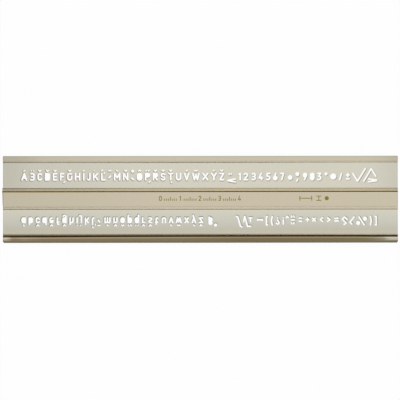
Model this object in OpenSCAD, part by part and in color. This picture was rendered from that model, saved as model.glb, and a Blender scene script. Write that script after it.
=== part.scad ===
// Lettering stencil of smoky transparent plastic: two thin plates with letter openings,
// let into a centre rib and two edge rails that hold them clear of the paper.
// X runs along the stencil, +Y is the far long edge and +Z points up from the paper.
// The lower row stands on its head, because the stencil is turned over about its length
// to use it.

/* [Stencil] */
// Length of the rails
length = 200; // [196:1:260]
// Overall width, across both edge rails
width = 44; // [42:0.5:60]
// Thickness of the rib and the rails, which rest on the paper
thickness = 2.6; // [2.2:0.1:4]

/* [Letter plates] */
// Thickness of each letter plate
plate_t = 1.5; // [0.8:0.1:1.6]
// How far each plate end stands back from the ends of the rails
plate_setback = 0.05; // [0:0.05:1]
// Room for the film of cement between a plate and what it is let into
seam = 0.04; // [0.02:0.01:0.1]

/* [Centre rib] */
// Width of the rib between the two plates
rib_w = 7.9; // [6:0.1:8.5]
// Width of the flange that each plate laps on the rib
rib_lap = 1.5; // [1:0.1:2]
// Width of the bevel where the rib rises from the open face of a plate
rib_bevel = 0.5; // [0.1:0.05:0.8]
// Size of the bevel along the tip of each flange
tip_bevel = 0.25; // [0.1:0.05:0.4]
// How far the upper corner of the rib's left end stands out beyond the other strips
rib_reach = 0.4; // [0:0.05:0.6]
// Distance of the rib's middle line above the middle of the stencil
rib_y = 0.25; // [0:0.05:0.5]

/* [Edge rails] */
// Width of the upper rail outside its plate
upper_rail_w = 3; // [2:0.1:4.5]
// Width of the lower rail outside its plate
lower_rail_w = 4; // [2:0.1:4.5]
// Width of the flange that each plate laps on its rail
rail_lap = 0.5; // [0.2:0.1:1.5]
// Width of the bevel where a rail rises from the open face of its plate
rail_bevel = 0.5; // [0.1:0.05:0.8]
// Size of the broken arris along the outer edge of each rail
arris = 0.15; // [0.05:0.05:0.3]
// Width of the bevel along each guide edge, which keeps wet ink from creeping under it
edge_bevel = 1; // [0.4:0.1:1.5]
// Depth of that bevel
bevel_drop = 0.8; // [0.4:0.1:1.5]
// Size of the clipped corners at the ends of the upper rail
upper_clip = 0.2; // [0.1:0.1:1.5]
// Size of the clipped corners at the ends of the lower rail
lower_clip = 0.6; // [0.1:0.1:1.5]

/* [Lettering] */
// Height of the capitals, measured on the pen's line
cap_h = 3.15; // [2.8:0.05:3.2]
// Width of the letter openings
slot_w = 0.85; // [0.7:0.01:0.9]
// Width of the accent openings
mark_w = 0.65; // [0.5:0.01:0.7]
// Distance from the upper guide edge to the base line of the upper row
upper_row_inset = 12.1; // [11.9:0.1:12.5]
// Distance from the lower guide edge to the base line of the lower row
lower_row_inset = 12.6; // [12.2:0.1:12.8]
// Clear gap between neighbouring openings
letter_gap = 1.25; // [1:0.05:1.35]
// Distance from the left end to the first letter of each row
row_margin = 9.65; // [9:0.05:12]
// Least distance from the last letter of each row to the right end
end_margin = 2; // [1:0.1:5]

/* [Printing] */
// Height of the printed figures, measured on the line
print_h = 2.2; // [1.5:0.1:3]
// Width of the printed lines
print_w = 0.4; // [0.3:0.05:0.5]
// Thickness of the ink, which is stamped flush into the rib
ink_t = 0.05; // [0.03:0.01:0.1]
// Room around the ink in the rib
ink_seam = 0.02; // [0.01:0.01:0.05]
// Height of the print's middle line above the middle of the stencil
print_y = 0.5; // [-0.5:0.1:1]
// Length of the printed scale
scale_len = 40; // [20:10:40]
// Division of the printed scale
tick_step = 1; // [1:0.5:2]
// Place of the printed line sample along the rib
sample_x = 53.6; // [40:0.1:55]
// Length of the printed line sample
sample_len = 6; // [4:0.5:8]
// Place of the printed height mark along the rib
height_mark_x = 60.2; // [59:0.1:61]
// Place of the printed dot along the rib
dot_x = 64.2; // [63.5:0.1:80]
// Diameter of the printed dot
dot_d = 2.1; // [1:0.1:3]

/* [Hidden] */

$fn = 48;
smoke = [0.80, 0.78, 0.70, 0.7];
warm_smoke = [0.76, 0.71, 0.60, 0.8];
brown_smoke = [0.47, 0.43, 0.34, 0.9];
gold_ink = [0.62, 0.55, 0.18];

// The plates lie midway up, so that the stencil is the same either side up
plate_z = (thickness - plate_t) / 2;
flange_t = plate_z - seam;
edge_y = width / 2;
// Ends of the rails; the middle of the whole, with the rib's corner, is at x = 0
left_end = (rib_reach - length) / 2;
right_end = left_end + length;
rib_corner = left_end - rib_reach;

// Letters are drawn on a grid, with this many units to the height of a capital
cap_units = 7;
grid = cap_h / cap_units;
half_slot = slot_w / 2 / grid;
letter_space = (slot_w + letter_gap) / grid;
// Distance between the printed figures of the scale, and room to each side of one
figure_step = 10;
figure_room = 1.2;
// Accents over small letters stand this many units lower than over capitals
small_drop = 2;

// Coarsest turn, in degrees, between two points of a curved line or of a round end
curve_step = 20;
end_steps = 7;
// A line that turns by more than this gets a round outer corner
sharp_turn = 30;

function polar(c, r, a) = [c[0] + r * cos(a), c[1] + r * sin(a)];
function sweep(c, r, from, to, step) =
    let (n = max(1, ceil(abs(to - from) / step)))
    [for (i = [0 : n]) polar(c, r, from + (to - from) * i / n)];
function arc(x, y, r, from, to) = sweep([x, y], r, from, to, curve_step);
function heading(a, b) = atan2(b[1] - a[1], b[0] - a[0]);
function within_half_turn(a) = a > 180 ? a - 360 : a < -180 ? a + 360 : a;
function backwards(p) = [for (i = [len(p) - 1 : -1 : 0]) p[i]];
// The points p without any that lies on the one before it, the last counting as before the first
function distinct(p) = [
    for (i = [0 : len(p) - 1]) if (norm(p[i] - p[(i + len(p) - 1) % len(p)]) > 0.001) p[i]
];

// Right-hand side of a line drawn r to each side of the points p
function right_side(p, r) = [
    for (i = [0 : len(p) - 1])
        let (
            inner = i > 0 && i < len(p) - 1,
            way = i == 0 ? heading(p[0], p[1]) : heading(p[i - 1], p[i]),
            turn = inner ? within_half_turn(heading(p[i], p[i + 1]) - way) : 0
        )
        each turn > sharp_turn
            ? sweep(p[i], r, way - 90, way - 90 + turn, sharp_turn)
            : [polar(p[i], r / cos(turn / 2), way - 90 + turn / 2)]
];
// Round end of that line at its last point, between its two sides
function round_end(p, r) =
    let (n = len(p), way = heading(p[n - 2], p[n - 1]))
    [for (i = [1 : end_steps - 1]) polar(p[n - 1], r, way - 90 + 180 * i / end_steps)];
function outline(line, r) =
    let (p = distinct(line), q = backwards(p))
    concat(right_side(p, r), round_end(p, r), right_side(q, r), round_end(q, r));

// Opening of a letter whose closed inside has fallen out: a box with rounded corners, rl
// at its left end and rr at its right end, measured on the pen's line
function block(x0, y0, x1, y1, rl, rr, h = half_slot) = distinct(concat(
    arc(x1 - rr, y1 - rr, rr + h, 0, 90), arc(x0 + rl, y1 - rl, rl + h, 90, 180),
    arc(x0 + rl, y0 + rl, rl + h, 180, 270), arc(x1 - rr, y0 + rr, rr + h, 270, 360)
));

// Each letter is [width, lines, filled shapes, discs] in grid units, a disc being [x, y, r]
A_ = [
    5, [[[0, 0], [2.5, 7], [5, 0]], [[1, 2.2], [4, 2.2]]], [[[1, 2.2], [4, 2.2], [2.5, 7]]], []
];
B_ = [3.9, [
    concat([[0.3, 7], [2.2, 7]], arc(2.2, 5.3, 1.7, 90, -90), [[1, 3.6]]),
    concat(arc(2.1, 1.8, 1.8, 60, -90), [[0.3, 0]])
], [], []];
C_ = [3.6, [concat(arc(1.8, 5.2, 1.8, 20, 180), arc(1.8, 1.8, 1.8, 180, 340))], [], []];
D_ = [4.3, [], [block(0, 0, 4.3, 7, 0.2, 1.6)], []];
E_ = [3.4, [[[3.4, 7], [0, 7], [0, 0], [3.4, 0]], [[0, 3.6], [2.9, 3.6]]], [], []];
F_ = [3.3, [[[3.3, 7], [0, 7], [0, 0]], [[0, 3.6], [2.8, 3.6]]], [], []];
G_ = [4.5, [
    concat([[4.1, 6.8]], arc(2.2, 4.8, 2.2, 90, 180), arc(2.2, 2.2, 2.2, 180, 360), [[4.4, 3.9]])
], [], []];
H_ = [4.6, [[[0, 0], [0, 7]], [[4.6, 0], [4.6, 7]], [[0, 3.6], [4.6, 3.6]]], [], []];
I_ = [0, [[[0, 0], [0, 7]]], [], []];
J_ = [2.8, [concat([[2.8, 7]], arc(1.4, 1.4, 1.4, 0, -150))], [], []];
K_ = [4.6, [[[0, 0], [0, 7]], [[4.4, 7], [0.2, 2.6]], [[1.7, 4.1], [4.6, 0]]], [], []];
L_ = [3.5, [[[0, 7], [0, 0], [3.5, 0]]], [], []];
M_ = [5.6, [[[0, 0], [0, 7], [2.8, 2.4], [5.6, 7], [5.6, 0]]], [], []];
N_ = [4.4, [[[0, 0], [0, 7], [4.4, 0], [4.4, 7]]], [], []];
O_ = [4.5, [], [block(0, 0, 4.5, 7, 2.2, 2.2)], []];
P_ = [
    4.2, [[[0, 0], [0, 7]], concat([[0, 7]], arc(2.4, 5.2, 1.8, 90, -90), [[0, 3.4]])],
    [[[0, 3.4], [2.4, 3.4], [3.6, 5.2], [2.4, 7], [0, 7]]], []
];
R_ = [P_[0], concat(P_[1], [[[1.6, 3.2], [4, 0]]]), P_[2], []];
S_ = [3.8, [concat(arc(1.9, 5.2, 1.8, 20, 270), arc(1.9, 1.7, 1.7, 90, -160))], [], []];
T_ = [4, [[[0, 7], [4, 7]], [[2, 7], [2, 0]]], [], []];
U_ = [4.4, [concat([[0, 7]], arc(2.2, 2.2, 2.2, 180, 360), [[4.4, 7]])], [], []];
V_ = [4.6, [[[0, 7], [2.3, 0], [4.6, 7]]], [], []];
W_ = [6.8, [[[0, 7], [1.7, 0], [3.4, 5.6], [5.1, 0], [6.8, 7]]], [], []];
X_ = [5, [[[0, 0], [5, 7]], [[0, 7], [5, 0]]], [], []];
Y_ = [5, [[[0, 7], [2.5, 3.4], [5, 7]], [[2.5, 3.4], [2.5, 0]]], [], []];
Z_ = [3.6, [[[0, 7], [3.6, 7], [0, 0], [3.6, 0]]], [], []];

ONE = [1, [[[0, 6], [1, 7], [1, 0]]], [], []];
TWO = [3.4, [concat(arc(1.7, 5.3, 1.7, 160, -40), [[0, 0], [3.4, 0]])], [], []];
THREE = [3.1, [
    concat(arc(1.4, 5.3, 1.7, 140, -90), [[0.8, 3.6]]), arc(1.3, 1.8, 1.8, 60, -140)
], [], []];
FOUR = [3.6, [[[2.2, 7], [0, 1.8], [3.6, 1.8]], [[2.6, 3], [2.6, 0]]], [], []];
FIVE = [3, [concat([[3, 7], [0.3, 7], [0, 4.1]], arc(1, 2, 2, 80, -130))], [], []];
SIX = [3.2, [[[0.4, 2.6], [2.2, 7]]], [block(0, 0, 3.2, 3.8, 1.6, 1.6)], []];
SEVEN = [3, [[[0, 7], [3, 7], [1, 0]]], [], []];
NINE = [3.2, [[[2.8, 4.4], [1, 0]]], [block(0, 3.2, 3.2, 7, 1.6, 1.6)], []];
ZERO_W = 3.6;
function zero_block(h) = block(0, 0, ZERO_W, cap_units, ZERO_W / 2, ZERO_W / 2, h);
ZERO = [ZERO_W, [], [zero_block(half_slot)], []];
FLAT_THREE = [3, [[[0, 7], [3, 7], [1, 4]], arc(1, 2, 2, 95, -130)], [], []];

// Dots and discs for full stops, degrees and punched marks
STOP = [3.4, [], [], [[1.7, 2.4, 2.7]]];
RING_COMMA = [2.8, [[[1.6, 0.4], [0.8, -1.6]]], [], [[1.4, 6.3, 2.3]]];
DEGREE = [1.7, [], [], [[0.8, 6.5, 1.8]]];
BULLET = [5.2, [], [], [[2.6, 3.6, 3.5]]];
SLASH = [2.1, [[[0, 0], [2.1, 7]]], [], []];
PLUS_MINUS = [3, [[[0, 5.2], [3, 5.2]], [[1.5, 6.8], [1.5, 3.6]], [[0, 0.9], [3, 0.9]]], [], []];
CHECK = [14, [[[0, 6.9], [5.2, -1.8], [14, 12.4]]], [], []];
PEAK = [13.6, [
    [[0, -1.8], [8.4, 12.2], [13.6, 4]], [[5.6, 0.7], [14.6, -0.7]], [[5.6, -2.4], [14.6, -1.1]]
], [], []];
WEDGE = [8, [[[0, -0.7], [8, 0.7]], [[0, -1.1], [8, -2.4]]], [], []];
STROKE_PAIR = [1.6, [[[0, 2.4], [1.6, 4.2]]], [], []];
RING_TAIL = [1.8, [[[0, 1.8], [1.8, 0.2]]], [], [[0.9, 9.7, 1.7]]];

// Small letters
a_ = [3.4, [[[3.4, 5], [3.4, 0]]], [block(0, 0, 3, 5, 1.5, 1.5)], []];
b_ = [3.4, [[[0, 7], [0, 0]]], [block(0.4, 0, 3.4, 5, 1.5, 1.5)], []];
c_ = [3.2, [concat(arc(1.6, 3.4, 1.6, 20, 180), arc(1.6, 1.6, 1.6, 180, 340))], [], []];
d_ = [3.4, [[[3.4, 7], [3.4, 0]]], [block(0, 0, 3, 5, 1.5, 1.5)], []];
e_ = [
    3.2, [concat(arc(1.6, 1.6, 1.6, 290, 180), arc(1.6, 3.4, 1.6, 180, 0)), [[0, 2.9], [3.2, 2.9]]],
    [[[0, 2.9], [3.2, 2.9], [3.2, 3.4], [1.6, 5], [0, 3.4]]], []
];
f_ = [1.9, [concat(arc(1.6, 5.6, 1.3, 70, 180), [[0.3, 0]]), [[0, 4.4], [1.9, 4.4]]], [], []];
g_ = [3.4, [concat([[3.4, 5]], arc(1.7, -1.2, 1.7, 0, -150))], [block(0, 0, 3, 5, 1.5, 1.5)], []];
h_ = [3.3, [[[0, 7], [0, 0]], concat(arc(1.65, 3.35, 1.65, 150, 0), [[3.3, 0]])], [], []];
i_ = [0, [[[0, 5], [0, 0]]], [], []];
j_ = [1.5, [concat([[1.5, 5]], arc(0.2, -1.4, 1.3, 0, -110))], [], []];
k_ = [3.2, [[[0, 7], [0, 0]], [[3.1, 5], [0.2, 1.7]], [[1.2, 3], [3.2, 0]]], [], []];
l_ = [1.3, [concat([[0, 7]], arc(1.2, 1.2, 1.2, 180, 280))], [], []];
m_ = [5.4, [
    [[0, 5], [0, 0]], concat(arc(1.35, 3.65, 1.35, 150, 0), [[2.7, 0]]),
    concat(arc(4.05, 3.65, 1.35, 150, 0), [[5.4, 0]])
], [], []];
n_ = [3.3, [[[0, 5], [0, 0]], concat(arc(1.65, 3.35, 1.65, 150, 0), [[3.3, 0]])], [], []];
o_ = [3.4, [], [block(0, 0, 3.4, 5, 1.7, 1.7)], []];
p_ = [3.4, [[[0, 5], [0, -2.9]]], [block(0.4, 0, 3.4, 5, 1.5, 1.5)], []];
q_ = [3.4, [[[3.4, 5], [3.4, -2.9]]], [block(0, 0, 3, 5, 1.5, 1.5)], []];
r_ = [2.2, [[[0, 5], [0, 0]], arc(1.5, 3.5, 1.5, 150, 65)], [], []];
s_ = [2.8, [
    concat([[2.6, 5]], arc(1.25, 3.75, 1.25, 90, 270), arc(1.5, 1.25, 1.25, 90, -90), [[0.1, 0]])
], [], []];
t_ = [1.9, [concat([[0.5, 6.8]], arc(1.7, 1.2, 1.2, 180, 280)), [[0, 4.6], [1.9, 4.6]]], [], []];
u_ = [3.3, [concat([[0, 5]], arc(1.65, 1.65, 1.65, 180, 360), [[3.3, 5]])], [], []];
v_ = [3.6, [[[0, 5], [1.8, 0], [3.6, 5]]], [], []];
w_ = [5.2, [[[0, 5], [1.3, 0], [2.6, 4.2], [3.9, 0], [5.2, 5]]], [], []];
x_ = [3.4, [[[0, 0], [3.4, 5]], [[0, 5], [3.4, 0]]], [], []];
y_ = [3.6, [[[0, 5], [1.6, 0.4]], [[3.6, 5], [0.9, -2.9]]], [], []];
z_ = [3, [[[0, 5], [3, 5], [0, 0], [3, 0]]], [], []];
SHARP_S = [3.2, [
    [[0, -0.8], [0, 5.5]], concat(arc(1.5, 5.5, 1.5, 180, -50), [[1.5, 3.9]]),
    arc(1.4, 1.9, 1.8, 60, -110)
], [[[0, 0.4], [0, 5.5], [1.5, 7], [3, 5.5], [2.2, 3.7], [3.2, 1.9], [1.4, 0.1]]], []];

// Signs of the lower row
LOW_DISC = [1.7, [], [], [[0.8, 8, 1.8]]];
SLANT = [6, [[[0, -1.7], [1.6, -0.9], [4.4, 9.2], [6, 10]]], [], []];
RADICAL = [7.6, [[[0, 4.1], [1.2, -1.6], [4.3, 9.5], [7.6, 9.5]]], [], []];
UPRIGHT = [2.8, [[[0, 0], [2.8, 0]], [[1.4, 0], [1.4, 3.9]]], [], []];
DUMBBELL = [5.2, [[[0, 2.1], [5.2, 2.1]]], [], [[0.2, 2.1, 1.3], [5, 2.1, 1.3]]];
BRACKET = [1, [[[1, 7.9], [0, 7.9], [0, -1.4], [1, -1.4]]], [], []];
PARENTHESIS = [0.9, [arc(12.5, 3.2, 12.5, 158, 202)], [], []];
QUESTION = [3, [concat(arc(1.4, 5.4, 1.5, 160, -70), [[1.4, 2.4]])], [], [[1.4, 0, 0.95]]];
EXCLAMATION = [0.4, [[[0.2, 7], [0.2, 2.4]]], [], [[0.2, 0, 0.95]]];
TICK = [2, [[[0, -0.4], [1, -1.6], [2, -0.4]]], [], []];
DIVISION = [3.2, [
    [[0, 2.3], [3.2, 2.3]], [[0.4, 6.6], [0.2, 5.6]], [[2.9, 6.6], [2.7, 5.6]],
    [[0.4, -1], [0.2, -2]], [[2.9, -1], [2.7, -2]]
], [], []];
EQUALS = [2.6, [[[0, 0.4], [2.6, 0.4]], [[0, 3.8], [2.6, 3.8]]], [], []];
PLUS = [2.8, [[[0, 1.9], [2.8, 1.9]], [[1.4, 3.3], [1.4, 0.5]]], [], []];
TIMES = [2.8, [[[0, 0.5], [2.8, 3.5]], [[0, 3.5], [2.8, 0.5]]], [], []];
LESS = [2.6, [[[2.6, 4], [0, 2], [2.6, 0]]], [], []];
GREATER = [2.6, [[[0, 4], [2.6, 2], [0, 0]]], [], []];
ABOUT = [3.6, [
    [[0, 3.4], [0.9, 4], [2.7, 3], [3.6, 3.6]], [[0, 0.6], [0.9, 1.2], [2.7, 0.2], [3.6, 0.8]]
], [], []];
SECTION = [5.4, [[[5.4, 1.5], [2.4, -0.8], [0, 1.6], [4.2, 6], [2, 7.5]]], [], []];
HOOKED_SLASH = [4.6, [[[4.6, -0.8], [0, 5], [2.1, 7]]], [], []];
PERCENT = [7.6, [[[1, -0.8], [6.6, 7.8]]], [], [[0, 5.8, 2.4], [7.6, 1, 2.4]]];

// Accents, centred on their letter
ACUTE = [[[[-0.5, 9.8], [0.7, 10.8]]], []];
STEM_ACUTE = [[[[-2.1, 10], [-0.9, 11.1]]], []];
GRAVE = [[[[0.5, 9.8], [-0.7, 10.8]]], []];
CARON = [[[[-1.2, 10.9], [0, 9.5], [1.2, 10.9]]], []];
HAT = [[[[-1.2, 9.8], [0, 10.8], [1.2, 9.8]]], []];
TILDE = [[[[-1.5, 9.9], [-0.6, 10.4], [0.6, 9.9], [1.5, 10.4]]], []];
MACRON = [[[[-1.3, 10.2], [1.3, 10.2]]], []];
DOUBLE_ACUTE = [[[[-1.8, 9.8], [-1, 10.8]], [[1, 9.8], [1.8, 10.8]]], []];
DOTS = [[], [[-1.3, 10.1, 0.75], [1.3, 10.1, 0.75]]];
DOT = [[], [[0, 10.1, 0.75]]];
STEM_DOT = [[], [[-1.6, 10.1, 0.75]]];
APOSTROPHE = [[[[0.8, 6.9], [1.3, 7.9]]], []];
HOOK = [[[[1.8, -3], [3, -1.6]]], []];
TAIL = [[[[0.5, -2.2], [1, -3.2]]], []];
QUOTES = [[[[-2.9, 5.6], [-2.5, 7]], [[-0.7, 5.6], [-0.3, 7]]], []];
HIGH_ACUTE = [[[[-0.6, 11.9], [0.5, 12.9]]], []];
HIGH_APOSTROPHE = [[[[2.4, 8.8], [2.9, 9.8]]], []];

// A letter of lines only, left for right
function mirrored(letter) =
    [letter[0], [for (line = letter[1]) [for (p = line) [letter[0] - p[0], p[1]]]], [], []];

// A row is a list of letters, each with its accents, and of extra spaces in grid units
UPPER_ROW = [
    [A_, [ACUTE]], [B_, [DOTS]], [C_, [CARON]], [D_, [CARON]], [E_, [CARON]], [F_, [HOOK]],
    [G_, [CARON]], -0.5, [H_, []], [I_, [ACUTE]], -0.5, [J_, []], -0.5, [K_, [STEM_DOT]],
    [L_, [STEM_ACUTE, APOSTROPHE]], [STROKE_PAIR, [MACRON]], [M_, [GRAVE]], [N_, [CARON]],
    [RING_TAIL, []], [O_, [HAT]], [P_, [DOUBLE_ACUTE, HOOK]], [R_, [CARON]], [S_, [CARON]],
    [T_, [CARON, TAIL]], [U_, []], [V_, [ACUTE]], [W_, [TILDE]], [X_, []], [Y_, [ACUTE]],
    [Z_, [CARON]], 0.5, [WEDGE, [QUOTES]], [ONE, []], [TWO, []], 1, [THREE, []], [FOUR, []],
    0.5, [FIVE, []], [SIX, []], [SEVEN, []], 1, [STOP, []], 0.5, [RING_COMMA, []], 1,
    [NINE, []], [ZERO, []], [FLAT_THREE, []], 0.5, [DEGREE, []], [BULLET, []], [SLASH, []], 1,
    [PLUS_MINUS, []], -0.5, [CHECK, []], -6.5, [PEAK, []]
];
LOWER_ROW = [
    [a_, [ACUTE]], [b_, []], [c_, [CARON]], -0.5, [d_, []], [e_, [CARON]], [f_, []],
    [g_, [CARON]], [h_, []], [i_, [DOT]], -1.5, [j_, [DOT]], [k_, []],
    [l_, [HIGH_ACUTE, HIGH_APOSTROPHE]], 0.5, [STROKE_PAIR, [MACRON]], 1.5, [m_, [ACUTE]],
    [n_, [CARON]], [o_, [HAT]], [p_, [DOUBLE_ACUTE]], [q_, [DOTS]], [r_, [CARON]], 0.5,
    [s_, [CARON]], [t_, []], 1, [u_, []], [v_, [ACUTE]], -0.5, [w_, [TILDE]], [x_, []],
    [y_, [ACUTE]], [z_, [CARON]], 3, [SHARP_S, []], -1.5, [LOW_DISC, []], 18, [SLANT, []],
    -2.5, [RADICAL, []], -6, [UPRIGHT, []], 2, [DUMBBELL, []], [BRACKET, []],
    [PARENTHESIS, []], [QUESTION, []], [EXCLAMATION, []], -1.5, [TICK, []], -1,
    [DIVISION, []], 1, [EQUALS, []], 0.5, [PLUS, []], [TIMES, []], 1, [LESS, []], 1,
    [GREATER, []], 1, [ABOUT, []], [SECTION, []], -1.5, [HOOKED_SLASH, []], [PERCENT, []],
    1.5, [mirrored(PARENTHESIS), []], [mirrored(BRACKET), []]
];
FIGURES = [ZERO, ONE, TWO, THREE, FOUR];

function advance(item) = is_num(item) ? item : item[0][0] + letter_space;
function starts(row) = [for (i = 0, x = 0; i < len(row); x = x + advance(row[i]), i = i + 1) x];

module opening(line, w) polygon(outline(line * grid, w / 2));

module discs(list) {
    for (d = list) translate([d[0], d[1]] * grid) circle(d[2] * grid);
}

module letter(glyph) {
    for (line = glyph[1]) opening(line, slot_w);
    for (shape = glyph[2]) polygon(shape * grid);
    discs(glyph[3]);
}

module accent(mark) {
    for (line = mark[0]) opening(line, mark_w);
    discs(mark[1]);
}

// The letters of a row for which the length has room
module letter_row(row, drop) {
    at = starts(row) * grid;
    room = length - row_margin - end_margin;
    for (i = [0 : len(row) - 1]) if (!is_num(row[i]) && at[i] + row[i][0][0] * grid <= room)
        translate([at[i] + left_end + row_margin, 0]) {
            letter(row[i][0]);
            translate([row[i][0][0] / 2, -drop] * grid) for (mark = row[i][1]) accent(mark);
        }
}

// A plate on the +Y side, between a rib face at y = rib_face and a rail, with its openings
module letter_plate(rib_face, rail_w, row, inset, drop) {
    near = [left_end + plate_setback, rib_face + seam];
    far = [right_end - plate_setback, edge_y - rail_w - seam];
    translate([0, 0, plate_z]) linear_extrude(plate_t) difference() {
        translate(near) square(far - near);
        translate([0, edge_y - inset]) letter_row(row, drop);
    }
}

module upper_letter_plate()
    color(smoke) letter_plate(rib_w / 2 + rib_y, upper_rail_w, UPPER_ROW, upper_row_inset, 0);

module lower_letter_plate() color(smoke) mirror([0, 1, 0])
    letter_plate(rib_w / 2 - rib_y, lower_rail_w, LOWER_ROW, lower_row_inset, small_drop);

// A strip of the given cross-section, as [y, z] points, from x = from to the right end
module strip(section, from)
    translate([from, 0, 0]) rotate([90, 0, 90]) linear_extrude(right_end - from) polygon(section);

// Half of the rib's section, which is the same again when turned upside down
tip_y = rib_w / 2 + rib_lap;
tip_cut = min(tip_bevel, flange_t / 2);
rib_half = [
    [tip_y - tip_cut, thickness], [tip_y, thickness - tip_cut], [tip_y, thickness - flange_t],
    [rib_w / 2, thickness - flange_t], [rib_w / 2, flange_t], [rib_w / 2 - rib_bevel, 0]
];

module centre_rib() color(warm_smoke) difference() {
    translate([0, rib_y, 0]) intersection() {
        strip(concat(rib_half, [for (p = rib_half) [-p[0], thickness - p[1]]]), rib_corner);
        linear_extrude(thickness) polygon([
            [rib_corner, tip_y], [left_end, -tip_y], [right_end, -tip_y], [right_end, tip_y]
        ]);
    }
    print_place(ink_t + ink_seam) {
        scale_marks(ink_seam);
        line_sample_marks(ink_seam);
        height_marks(ink_seam);
        dot_mark(ink_seam);
    }
}

// A rail on the +Y edge, with its flange under the plate and its bevel on top
module edge_rail(w, clip) {
    core = edge_y - w;
    intersection() {
        strip([
            [core - rail_lap, 0], [edge_y - arris, 0], [edge_y, arris],
            [edge_y, thickness - bevel_drop], [edge_y - edge_bevel, thickness],
            [core + rail_bevel, thickness], [core, thickness - flange_t], [core, flange_t],
            [core - rail_lap, flange_t]
        ], left_end);
        linear_extrude(thickness) polygon([
            [left_end, 0], [right_end, 0], [right_end, edge_y - clip],
            [right_end - clip, edge_y], [left_end + clip, edge_y], [left_end, edge_y - clip]
        ]);
    }
}

module upper_edge_rail() color(warm_smoke) edge_rail(upper_rail_w, upper_clip);

module lower_edge_rail()
    color(brown_smoke) translate([0, 0, thickness]) rotate([180, 0, 0])
        edge_rail(lower_rail_w, lower_clip);

// A layer that reaches down from the top of the rib, with the print's middle line at print_y
module print_place(depth)
    translate([0, print_y, thickness - depth]) linear_extrude(depth) children();

// The printed marks, each line widened by room on either side
module mark_line(points, room) polygon(outline(points, print_w / 2 + room));

// A figure centred on x = 0
module figure(i, room) {
    unit = print_h / cap_units;
    glyph = FIGURES[i];
    half_line = (print_w / 2 + room) / unit;
    translate([-glyph[0], -cap_units] / 2 * unit) {
        for (line = glyph[1]) mark_line(line * unit, room);
        if (i == 0) difference() {
            polygon(zero_block(half_line) * unit);
            polygon(zero_block(-half_line) * unit);
        }
    }
}

module scale_marks(room) {
    for (i = [0 : scale_len / figure_step])
        translate([i * figure_step - scale_len / 2, 0]) figure(i, room);
    for (x = [tick_step : tick_step : scale_len - tick_step])
        if (abs(x - figure_step * round(x / figure_step)) > figure_room)
            translate([x - scale_len / 2, 0]) mark_line([[0, -print_h / 2], [0, tick_top(x)]], room);
}
function tick_top(x) = x % (figure_step / 2) == 0 ? print_h / 4 : -print_h / 8;

module line_sample_marks(room) translate([sample_x, 0]) {
    mark_line([[-sample_len / 2, 0], [sample_len / 2, 0]], room);
    for (side = [-1, 1]) translate([side * sample_len / 2, 0])
        mark_line([[0, -print_h / 2], [0, print_h / 2]], room);
}

module height_marks(room) translate([height_mark_x, 0]) {
    mark_line([[0, -print_h / 2], [0, print_h / 2]], room);
    for (side = [-1, 1]) translate([0, side * print_h / 2])
        mark_line([[-print_h / 2, 0], [print_h / 2, 0]], room);
}

module dot_mark(room) translate([dot_x, 0]) circle(d = dot_d + 2 * room);

module printed_scale() color(gold_ink) print_place(ink_t) scale_marks(0);
module printed_line_sample() color(gold_ink) print_place(ink_t) line_sample_marks(0);
module printed_height_mark() color(gold_ink) print_place(ink_t) height_marks(0);
module printed_dot() color(gold_ink) print_place(ink_t) dot_mark(0);

upper_letter_plate();
lower_letter_plate();
centre_rib();
upper_edge_rail();
lower_edge_rail();
printed_scale();
printed_line_sample();
printed_height_mark();
printed_dot();
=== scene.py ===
"""Looks, light and camera for the lettering stencil: see-through smoky plastic on white paper."""

import math

import bpy
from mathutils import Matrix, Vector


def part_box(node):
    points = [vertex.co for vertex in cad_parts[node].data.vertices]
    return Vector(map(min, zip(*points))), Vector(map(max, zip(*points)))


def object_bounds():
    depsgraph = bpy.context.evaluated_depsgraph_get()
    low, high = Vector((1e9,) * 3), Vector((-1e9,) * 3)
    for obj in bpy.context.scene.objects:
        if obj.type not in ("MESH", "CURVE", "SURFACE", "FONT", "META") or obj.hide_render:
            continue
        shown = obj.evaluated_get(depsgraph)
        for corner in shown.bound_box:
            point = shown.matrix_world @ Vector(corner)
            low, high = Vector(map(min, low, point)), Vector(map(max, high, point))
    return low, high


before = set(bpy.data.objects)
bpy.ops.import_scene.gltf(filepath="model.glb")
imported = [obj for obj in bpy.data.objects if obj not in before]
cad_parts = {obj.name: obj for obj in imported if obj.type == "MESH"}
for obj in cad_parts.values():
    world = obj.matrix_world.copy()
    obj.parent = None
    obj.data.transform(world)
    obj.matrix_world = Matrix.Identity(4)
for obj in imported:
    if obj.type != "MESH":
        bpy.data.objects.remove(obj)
loaded_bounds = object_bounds()

MM = 0.001
# The photograph in its own pixels, and its scale at the top of the stencil
PHOTO_PX = 400
METRES_PER_PX = 0.50633 * MM
STENCIL_CENTRE_PX = (199.95, 199.33)
# The stencil lies very slightly turned in the photograph
CAMERA_TURN = math.radians(-0.06)
CAMERA_HEIGHT = 1200 * MM
SENSOR_WIDTH_MM = 36

# Edges of the strips, from the frame
TOP = loaded_bounds[1][2]
RIB_LOW, RIB_HIGH = (corner.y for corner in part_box("centre_rib"))
LOWER_RAIL_LOW, LOWER_RAIL_HIGH = (corner.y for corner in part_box("lower_edge_rail"))
UPPER_RAIL_LOW, UPPER_RAIL_HIGH = (corner.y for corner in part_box("upper_edge_rail"))
LEFT_END, RIGHT_END = (corner.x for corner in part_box("upper_edge_rail"))
# Widths of their laps and bevels, as built
RIB_LAP = 1.5 * MM
RIB_TIP = 0.25 * MM
RAIL_LAP = 0.5 * MM
JOINT_BEVEL = 0.5 * MM
EDGE_BEVEL = 1 * MM

# Absorption of the plastic for red, green and blue light, per metre
SMOKE = (227, 251, 365)
WARM_SMOKE = (173, 215, 320)
ABSORPTION_DENSITY = 600
PLASTIC_IOR = 1.49
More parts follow.
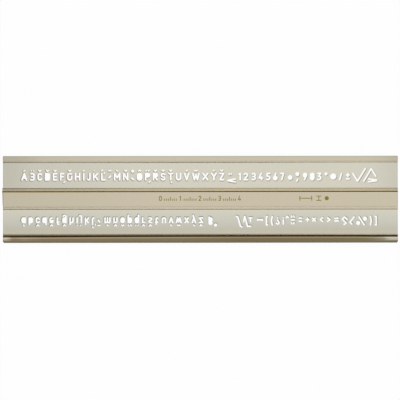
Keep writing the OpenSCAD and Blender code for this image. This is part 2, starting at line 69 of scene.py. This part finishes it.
# Its fine unevenness: cells per metre, depth, and roughness from low to high spots
PLASTIC_GRAIN = 400
PLASTIC_GRAIN_DEPTH = 0.003 * MM
PLASTIC_ROUGHNESS = (0.02, 0.05)
PLASTIC_MOTTLE = [(0.3, (0.97, 0.98, 0.98)), (0.7, (1, 0.99, 0.98))]

# The same of the ink
INK_GRAIN = 2500
INK_GRAIN_DEPTH = 0.01 * MM
INK_ROUGHNESS = (0.35, 0.6)
INK_TONES = [(0.3, (0.36, 0.29, 0.02)), (0.7, (0.52, 0.43, 0.05))]

# The paper, how much of it is white by itself to the eye, and the even light of the room
PAPER_SIZE = 4
PAPER_GAP = 0.1 * MM
PAPER_WHITE = 0.9
PAPER_GLOW = 0.93
GLOW_STRENGTH = 1.03
ROOM_LIGHT = 0.5

# No tint, painted shade on the pieces' upright walls, and the tint of the lower rail's reflections
CLEAR = (1, 1, 1)
WALL_SHADE = (1, 0.98, 0.95)
BROWN_GLOSS = (0.9, 0.6, 0.15)
# Upright share of a surface's normal where it is all wall, and where it is none
STEEP, LEVEL = 0.6, 0.9
# How softly one tint goes over into the next
SOFT = 0.06 * MM

# Painted shade in dark rims beside the openings of the letter plates, and the share of free space
# around a spot where it has the rim's full shade, and where it has none
RIM_WIDTH = 0.6 * MM
RIM_SHADE = (0.3, 0.29, 0.27)
RIM_FULL, RIM_NONE = 0.6, 0.95
RIM_SAMPLES = 8
# Distance from the middle at which they lie as much outwards as towards an edge
RIM_LEAN = 60 * MM
# Where the rims are at full strength and where they have nearly faded
RIMS_STRONG = -20 * MM
RIMS_FAINT = 100 * MM
RIM_FADE = 0.1

# Darker edge along both ends of the strips
END_EDGE = 0.5 * MM
END_TINT = (0.72, 0.75, 0.8)


def add(tree, kind, **values):
    """A new node, with attributes or input sockets set by name."""
    node = tree.nodes.new(kind)
    for name, value in values.items():
        if hasattr(node, name):
            setattr(node, name, value)
        else:
            node.inputs[name.replace("_", " ")].default_value = value
    return node


def new_material(name):
    """A material whose node tree holds only its output."""
    material = bpy.data.materials.new(name)
    material.use_nodes = True
    tree = material.node_tree
    tree.nodes.clear()
    return material, tree, tree.nodes.new("ShaderNodeOutputMaterial")


def ramp(tree, value, stops):
    """Colour that follows a value through (value, colour) stops, in rising order."""
    first, last = stops[0][0], stops[-1][0]
    place = add(tree, "ShaderNodeMapRange", From_Min=first, From_Max=last)
    tree.links.new(value, place.inputs["Value"])
    colours = add(tree, "ShaderNodeValToRGB")
    elements = colours.color_ramp.elements
    while len(elements) < len(stops):
        elements.new(1)
    for element, (at, colour) in zip(elements, stops):
        element.position = (at - first) / (last - first)
        element.color = (*colour, 1)
    tree.links.new(place.outputs["Result"], colours.inputs["Fac"])
    return colours.outputs["Color"]


def bands(first, *others):
    """Stops for bands of colour: the first one, then each (from, colour) in rising order."""
    stops, before = [], first
    for at, colour in others:
        stops += [(at - SOFT, before), (at + SOFT, colour)]
        before = colour
    return stops


def grey(level):
    return (level, level, level)


def times(tree, a, b, how="MULTIPLY"):
    """Product of two colours, or another blend of them."""
    mix = add(tree, "ShaderNodeMix", data_type="RGBA", blend_type=how)
    mix.inputs[0].default_value = 1
    tree.links.new(a, mix.inputs[6])
    tree.links.new(b, mix.inputs[7])
    return mix.outputs[2]


def grain_normal(tree, grain, depth):
    """Normal of a surface that a noise raises by at most this depth."""
    node = add(tree, "ShaderNodeBump", Distance=depth)
    tree.links.new(grain.outputs["Fac"], node.inputs["Height"])
    return node.outputs["Normal"]


def opening_rim_shade(tree, axes, towards):
    """Painted shade in dark rims on one side of the openings: the one towards -y or +y of them, and
    outwards.
    """
    outwards = add(tree, "ShaderNodeMath", operation="MULTIPLY")
    outwards.inputs[1].default_value = -1 / RIM_LEAN
    tree.links.new(axes.outputs["X"], outwards.inputs[0])
    way = add(tree, "ShaderNodeCombineXYZ", Y=towards)
    tree.links.new(outwards.outputs["Value"], way.inputs["X"])
    near = add(
        tree, "ShaderNodeAmbientOcclusion",
        samples=RIM_SAMPLES, only_local=True, Distance=RIM_WIDTH,
    )
    tree.links.new(way.outputs["Vector"], near.inputs["Normal"])
    fade = add(
        tree, "ShaderNodeMapRange", From_Min=RIMS_STRONG, From_Max=RIMS_FAINT, To_Max=RIM_FADE
    )
    tree.links.new(axes.outputs["X"], fade.inputs["Value"])
    open_share = add(tree, "ShaderNodeMath", operation="ADD")
    tree.links.new(near.outputs["AO"], open_share.inputs[0])
    tree.links.new(fade.outputs["Result"], open_share.inputs[1])
    return ramp(tree, open_share.outputs["Value"], [(RIM_FULL, RIM_SHADE), (RIM_NONE, CLEAR)])


def end_edges(tree, axes):
    """Darker edge along both ends."""
    off_middle = add(tree, "ShaderNodeMath", operation="SUBTRACT")
    tree.links.new(axes.outputs["X"], off_middle.inputs[0])
    off_middle.inputs[1].default_value = (LEFT_END + RIGHT_END) / 2
    reach = add(tree, "ShaderNodeMath", operation="ABSOLUTE")
    tree.links.new(off_middle.outputs["Value"], reach.inputs[0])
    half_length = (RIGHT_END - LEFT_END) / 2
    stops = [(half_length - END_EDGE, CLEAR), (half_length, END_TINT)]
    return ramp(tree, reach.outputs["Value"], stops)


def lowered(tree, axes, drop):
    """Place across the stencil, for bands that drop by so many mm towards the lower edge."""
    place = add(tree, "ShaderNodeMath", operation="MULTIPLY_ADD")
    place.inputs[1].default_value = MM
    tree.links.new(ramp(tree, axes.outputs["X"], drop), place.inputs[0])
    tree.links.new(axes.outputs["Y"], place.inputs[2])
    return place.outputs["Value"]


def plastic(name, absorption, across, along, rims=0, lightest=None, gloss=CLEAR, drop=None):
    """Polished see-through plastic, tinted, with painted shade and light across and along it.

    Its walls get painted shade. rims is the side of the openings that has dark rims of painted
    shade, -1 or +1 for -y or +y. lightest holds the lightest tints across the stencil, where the
    painted light along would make them lighter. gloss tints the reflections, and drop is how far
    the bands across lie nearer to the lower edge.
    """
    material, tree, out = new_material(name)
    link = tree.links.new
    place = add(tree, "ShaderNodeTexCoord")
    axes = add(tree, "ShaderNodeSeparateXYZ")
    link(place.outputs["Object"], axes.inputs["Vector"])
    facing = add(tree, "ShaderNodeSeparateXYZ")
    link(place.outputs["Normal"], facing.inputs["Vector"])
    level = add(tree, "ShaderNodeMath", operation="ABSOLUTE")
    link(facing.outputs["Z"], level.inputs[0])
    grain = add(tree, "ShaderNodeTexNoise", Scale=PLASTIC_GRAIN)
    link(place.outputs["Object"], grain.inputs["Vector"])
    mottle = ramp(tree, grain.outputs["Fac"], PLASTIC_MOTTLE)
    # Painted shade: upright walls darker than level faces
    walls = ramp(tree, level.outputs["Value"], [(STEEP, WALL_SHADE), (LEVEL, CLEAR)])
    tint = times(tree, mottle, walls)
    across_place = lowered(tree, axes, drop) if drop else axes.outputs["Y"]
    # Tints, painted shade, painted shadow and painted light across and along the stencil
    tint = times(tree, tint, ramp(tree, across_place, across))
    tint = times(tree, tint, ramp(tree, axes.outputs["X"], along))
    if lightest:
        tint = times(tree, tint, ramp(tree, axes.outputs["Y"], lightest), "DARKEN")
    # Painted shade: dark rims beside the openings
    if rims:
        tint = times(tree, tint, opening_rim_shade(tree, axes, rims))
    tint = times(tree, tint, end_edges(tree, axes))
    low, high = PLASTIC_ROUGHNESS
    polish = add(tree, "ShaderNodeMapRange", To_Min=low, To_Max=high)
    link(grain.outputs["Fac"], polish.inputs["Value"])
    shader = add(tree, "ShaderNodeBsdfPrincipled", IOR=PLASTIC_IOR, Transmission_Weight=1)
    shader.inputs["Specular Tint"].default_value = (*gloss, 1)
    link(tint, shader.inputs["Base Color"])
    link(polish.outputs["Result"], shader.inputs["Roughness"])
    link(grain_normal(tree, grain, PLASTIC_GRAIN_DEPTH), shader.inputs["Normal"])
    volume = add(tree, "ShaderNodeVolumeAbsorption", Density=ABSORPTION_DENSITY)
    volume.inputs["Color"].default_value = (*[1 - k / ABSORPTION_DENSITY for k in absorption], 1)
    link(shader.outputs["BSDF"], out.inputs["Surface"])
    link(volume.outputs["Volume"], out.inputs["Volume"])
    return material


def ink(name):
    """Olive-gold stamping ink, slightly uneven in tone and gloss."""
    material, tree, out = new_material(name)
    link = tree.links.new
    place = add(tree, "ShaderNodeTexCoord")
    grain = add(tree, "ShaderNodeTexNoise", Scale=INK_GRAIN)
    link(place.outputs["Object"], grain.inputs["Vector"])
    tone = ramp(tree, grain.outputs["Fac"], INK_TONES)
    low, high = INK_ROUGHNESS
    gloss = add(tree, "ShaderNodeMapRange", To_Min=low, To_Max=high)
    link(grain.outputs["Fac"], gloss.inputs["Value"])
    shader = add(tree, "ShaderNodeBsdfPrincipled")
    link(tone, shader.inputs["Base Color"])
    link(gloss.outputs["Result"], shader.inputs["Roughness"])
    link(grain_normal(tree, grain, INK_GRAIN_DEPTH), shader.inputs["Normal"])
    link(shader.outputs["BSDF"], out.inputs["Surface"])
    return material


def dress(material, *nodes):
    """Give a material to each of the named pieces."""
    for name in nodes:
        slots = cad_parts[name].data.materials
        slots.clear()
        slots.append(material)


# Tints and painted shade across the stencil, from its lower edge to its upper one
LOWER_JOINT = LOWER_RAIL_HIGH - RAIL_LAP
# The rail's own brown, a lighter band, and a near-black line of painted shade at its joint
LOWER_RAIL_TONE_AND_SHADE_ACROSS = bands(
    (0.3, 0.26, 0.185),
    (LOWER_JOINT - 3.2 * JOINT_BEVEL, (0.5, 0.425, 0.315)),
    (LOWER_JOINT - 1.8 * JOINT_BEVEL, (0.012, 0.007, 0.002)),
    (LOWER_JOINT - 0.3 * JOINT_BEVEL, CLEAR),
)
# Its guide edge stays dark also at the ends, where painted light makes the rest of the rail lighter
LOWER_RAIL_LIGHTEST = [
    (LOWER_RAIL_LOW + 0.9 * MM, (0.31, 0.275, 0.215)), (LOWER_RAIL_LOW + 1.8 * MM, CLEAR),
]
# Painted shadow of the lower rail on the lower plate, darkest next to the rail
LOWER_PLATE_SHADOW_ACROSS = [
    (LOWER_RAIL_HIGH, (0.86, 0.82, 0.76)),
    (LOWER_RAIL_HIGH + 2.5 * MM, (0.83, 0.82, 0.81)),
    (LOWER_RAIL_HIGH + 6 * MM, (0.89, 0.91, 0.93)),
    (LOWER_RAIL_HIGH + 9 * MM, (0.94, 0.95, 0.96)),
    (LOWER_RAIL_HIGH + 12 * MM, CLEAR),
]
# The rib's warmer tone low down and over its upper lap, with painted shade in dark lines at its
# joints and tip
RIB_TONE_AND_SHADE_ACROSS = bands(
    (1, 0.95, 0.9),
    (RIB_LOW + RIB_LAP - 0.3 * JOINT_BEVEL, (0.74, 0.72, 0.68)),
    (RIB_LOW + RIB_LAP + 0.5 * JOINT_BEVEL, CLEAR),
    (RIB_HIGH - RIB_LAP - JOINT_BEVEL, (0.72, 0.51, 0.06)),
    (RIB_HIGH - RIB_LAP, (0.98, 0.91, 0.78)),
    (RIB_HIGH - RIB_TIP, (0.4, 0.37, 0.32)),
)
# Painted shade on the upper plate beside the rib's tip
UPPER_PLATE_SHADE_ACROSS = [(RIB_HIGH, (0.9, 0.88, 0.85)), (RIB_HIGH + 0.6 * MM, CLEAR)]
# Painted shade in a dark line at the rail's joint and along its outer bevel
UPPER_RAIL_SHADE_ACROSS = bands(
    CLEAR,
    (UPPER_RAIL_LOW + 1.3 * RAIL_LAP, (0.74, 0.71, 0.69)),
    (UPPER_RAIL_LOW + RAIL_LAP + JOINT_BEVEL, CLEAR),
    (UPPER_RAIL_HIGH - EDGE_BEVEL, (0.88, 0.91, 0.93)),
    (UPPER_RAIL_HIGH - EDGE_BEVEL / 3, (0.55, 0.62, 0.62)),
)

# Painted shade along the stencil, darker towards its ends where the light falls off, from its left
# end to its right one
PLATE_SHADE_ALONG = [
    (-97 * MM, grey(0.81)), (-92 * MM, grey(0.84)), (-85 * MM, grey(0.9)), (-65 * MM, grey(0.93)),
    (-30 * MM, CLEAR), (80 * MM, CLEAR), (90 * MM, grey(0.97)), (98 * MM, grey(0.9)),
]
LOWER_PLATE_SHADE_ALONG = [(-97 * MM, grey(0.96)), (-30 * MM, CLEAR)]
RIB_SHADE_ALONG = [(-97 * MM, grey(0.92)), (-75 * MM, grey(0.95)), (-20 * MM, CLEAR)]
UPPER_RAIL_SHADE_ALONG = [
    (-98 * MM, grey(0.79)), (-88 * MM, grey(0.84)), (-80 * MM, grey(0.94)), (-40 * MM, CLEAR),
    (85 * MM, CLEAR), (94 * MM, grey(0.94)), (98 * MM, grey(0.88)),
]
# Painted light: above 1 where the lower rail is lighter than a little right of its middle
LOWER_RAIL_LIGHT_ALONG = [
    (-99 * MM, (2.7, 2.9, 4.1)), (-95 * MM, (1.2, 1.18, 1.4)), (-89 * MM, (1.37, 1.44, 1.8)),
    (-80 * MM, (1.2, 1.18, 1.36)), (-40 * MM, (1.17, 1.2, 1.28)), (-10 * MM, (1.16, 1.18, 1.25)),
    (20 * MM, CLEAR), (82 * MM, (1.05, 1.1, 1.1)), (88 * MM, (1.15, 1.3, 1.35)),
    (93 * MM, (1.45, 1.7, 2.1)), (97 * MM, (2.9, 3.4, 4.8)),
]

# How far the bands across the rib and the lower rail lie nearer to the lower edge, in mm
RIB_DROP = [(-99 * MM, grey(0.15)), (-75 * MM, grey(0.15)), (-40 * MM, grey(0.06)), (0, grey(0))]
LOWER_RAIL_DROP = [
    (-99 * MM, grey(0.34)), (-75 * MM, grey(0.3)), (-45 * MM, grey(0.17)), (0, grey(0.07)),
    (50 * MM, grey(0.02)), (80 * MM, grey(0.04)), (90 * MM, grey(0.14)), (98 * MM, grey(0.16)),
]

dress(
    plastic("upper_plate_plastic", SMOKE, UPPER_PLATE_SHADE_ACROSS, PLATE_SHADE_ALONG, 1), "upper_letter_plate"
)
dress(
    plastic("lower_plate_plastic", SMOKE, LOWER_PLATE_SHADOW_ACROSS, LOWER_PLATE_SHADE_ALONG, -1),
    "lower_letter_plate",
)
dress(plastic("rib_plastic", WARM_SMOKE, RIB_TONE_AND_SHADE_ACROSS, RIB_SHADE_ALONG, drop=RIB_DROP), "centre_rib")
dress(
    plastic("upper_rail_plastic", WARM_SMOKE, UPPER_RAIL_SHADE_ACROSS, UPPER_RAIL_SHADE_ALONG),
    "upper_edge_rail",
)
dress(
    plastic(
        "lower_rail_plastic", WARM_SMOKE, LOWER_RAIL_TONE_AND_SHADE_ACROSS, LOWER_RAIL_LIGHT_ALONG,
        lightest=LOWER_RAIL_LIGHTEST, gloss=BROWN_GLOSS, drop=LOWER_RAIL_DROP,
    ),
    "lower_edge_rail",
)
dress(ink("gold_ink"), "printed_scale", "printed_line_sample", "printed_height_mark", "printed_dot")


def white_paper():
    """White paper just under the stencil, lit by the room but partly white by itself to the eye."""
    bpy.ops.mesh.primitive_plane_add(size=PAPER_SIZE, location=(0, 0, -PAPER_GAP))
    paper = bpy.context.object
    paper.name = "paper"
    material, tree, out = new_material("paper")
    link = tree.links.new
    rays = add(tree, "ShaderNodeLightPath")
    seen = rays.outputs["Is Camera Ray"]
    for kind in ("Is Glossy Ray", "Is Transmission Ray"):
        either = add(tree, "ShaderNodeMath", operation="MAXIMUM")
        link(seen, either.inputs[0])
        link(rays.outputs[kind], either.inputs[1])
        seen = either.outputs["Value"]
    share = add(tree, "ShaderNodeMath", operation="MULTIPLY")
    share.inputs[1].default_value = PAPER_GLOW
    link(seen, share.inputs[0])
    matt = add(tree, "ShaderNodeBsdfDiffuse", Color=(*grey(PAPER_WHITE), 1))
    glow = add(tree, "ShaderNodeEmission", Strength=GLOW_STRENGTH)
    mix = add(tree, "ShaderNodeMixShader")
    link(share.outputs["Value"], mix.inputs["Fac"])
    link(matt.outputs["BSDF"], mix.inputs[1])
    link(glow.outputs["Emission"], mix.inputs[2])
    link(mix.outputs["Shader"], out.inputs["Surface"])
    paper.data.materials.append(material)


white_paper()

world = bpy.data.worlds.new("studio")
world.use_nodes = True
bpy.context.scene.world = world
background = world.node_tree.nodes["Background"]
background.inputs["Color"].default_value = (1, 1, 1, 1)
background.inputs["Strength"].default_value = ROOM_LIGHT

camera_data = bpy.data.cameras.new("camera")
camera_data.sensor_width = SENSOR_WIDTH_MM
camera_data.lens = SENSOR_WIDTH_MM * CAMERA_HEIGHT / (PHOTO_PX * METRES_PER_PX)
camera = bpy.data.objects.new("camera", camera_data)
bpy.context.scene.collection.objects.link(camera)
camera.location = (
    (PHOTO_PX / 2 - STENCIL_CENTRE_PX[0]) * METRES_PER_PX,
    (STENCIL_CENTRE_PX[1] - PHOTO_PX / 2) * METRES_PER_PX,
    TOP + CAMERA_HEIGHT,
)
camera.rotation_euler.z = CAMERA_TURN
bpy.context.scene.camera = camera
bpy.context.scene.view_settings.view_transform = "Standard"
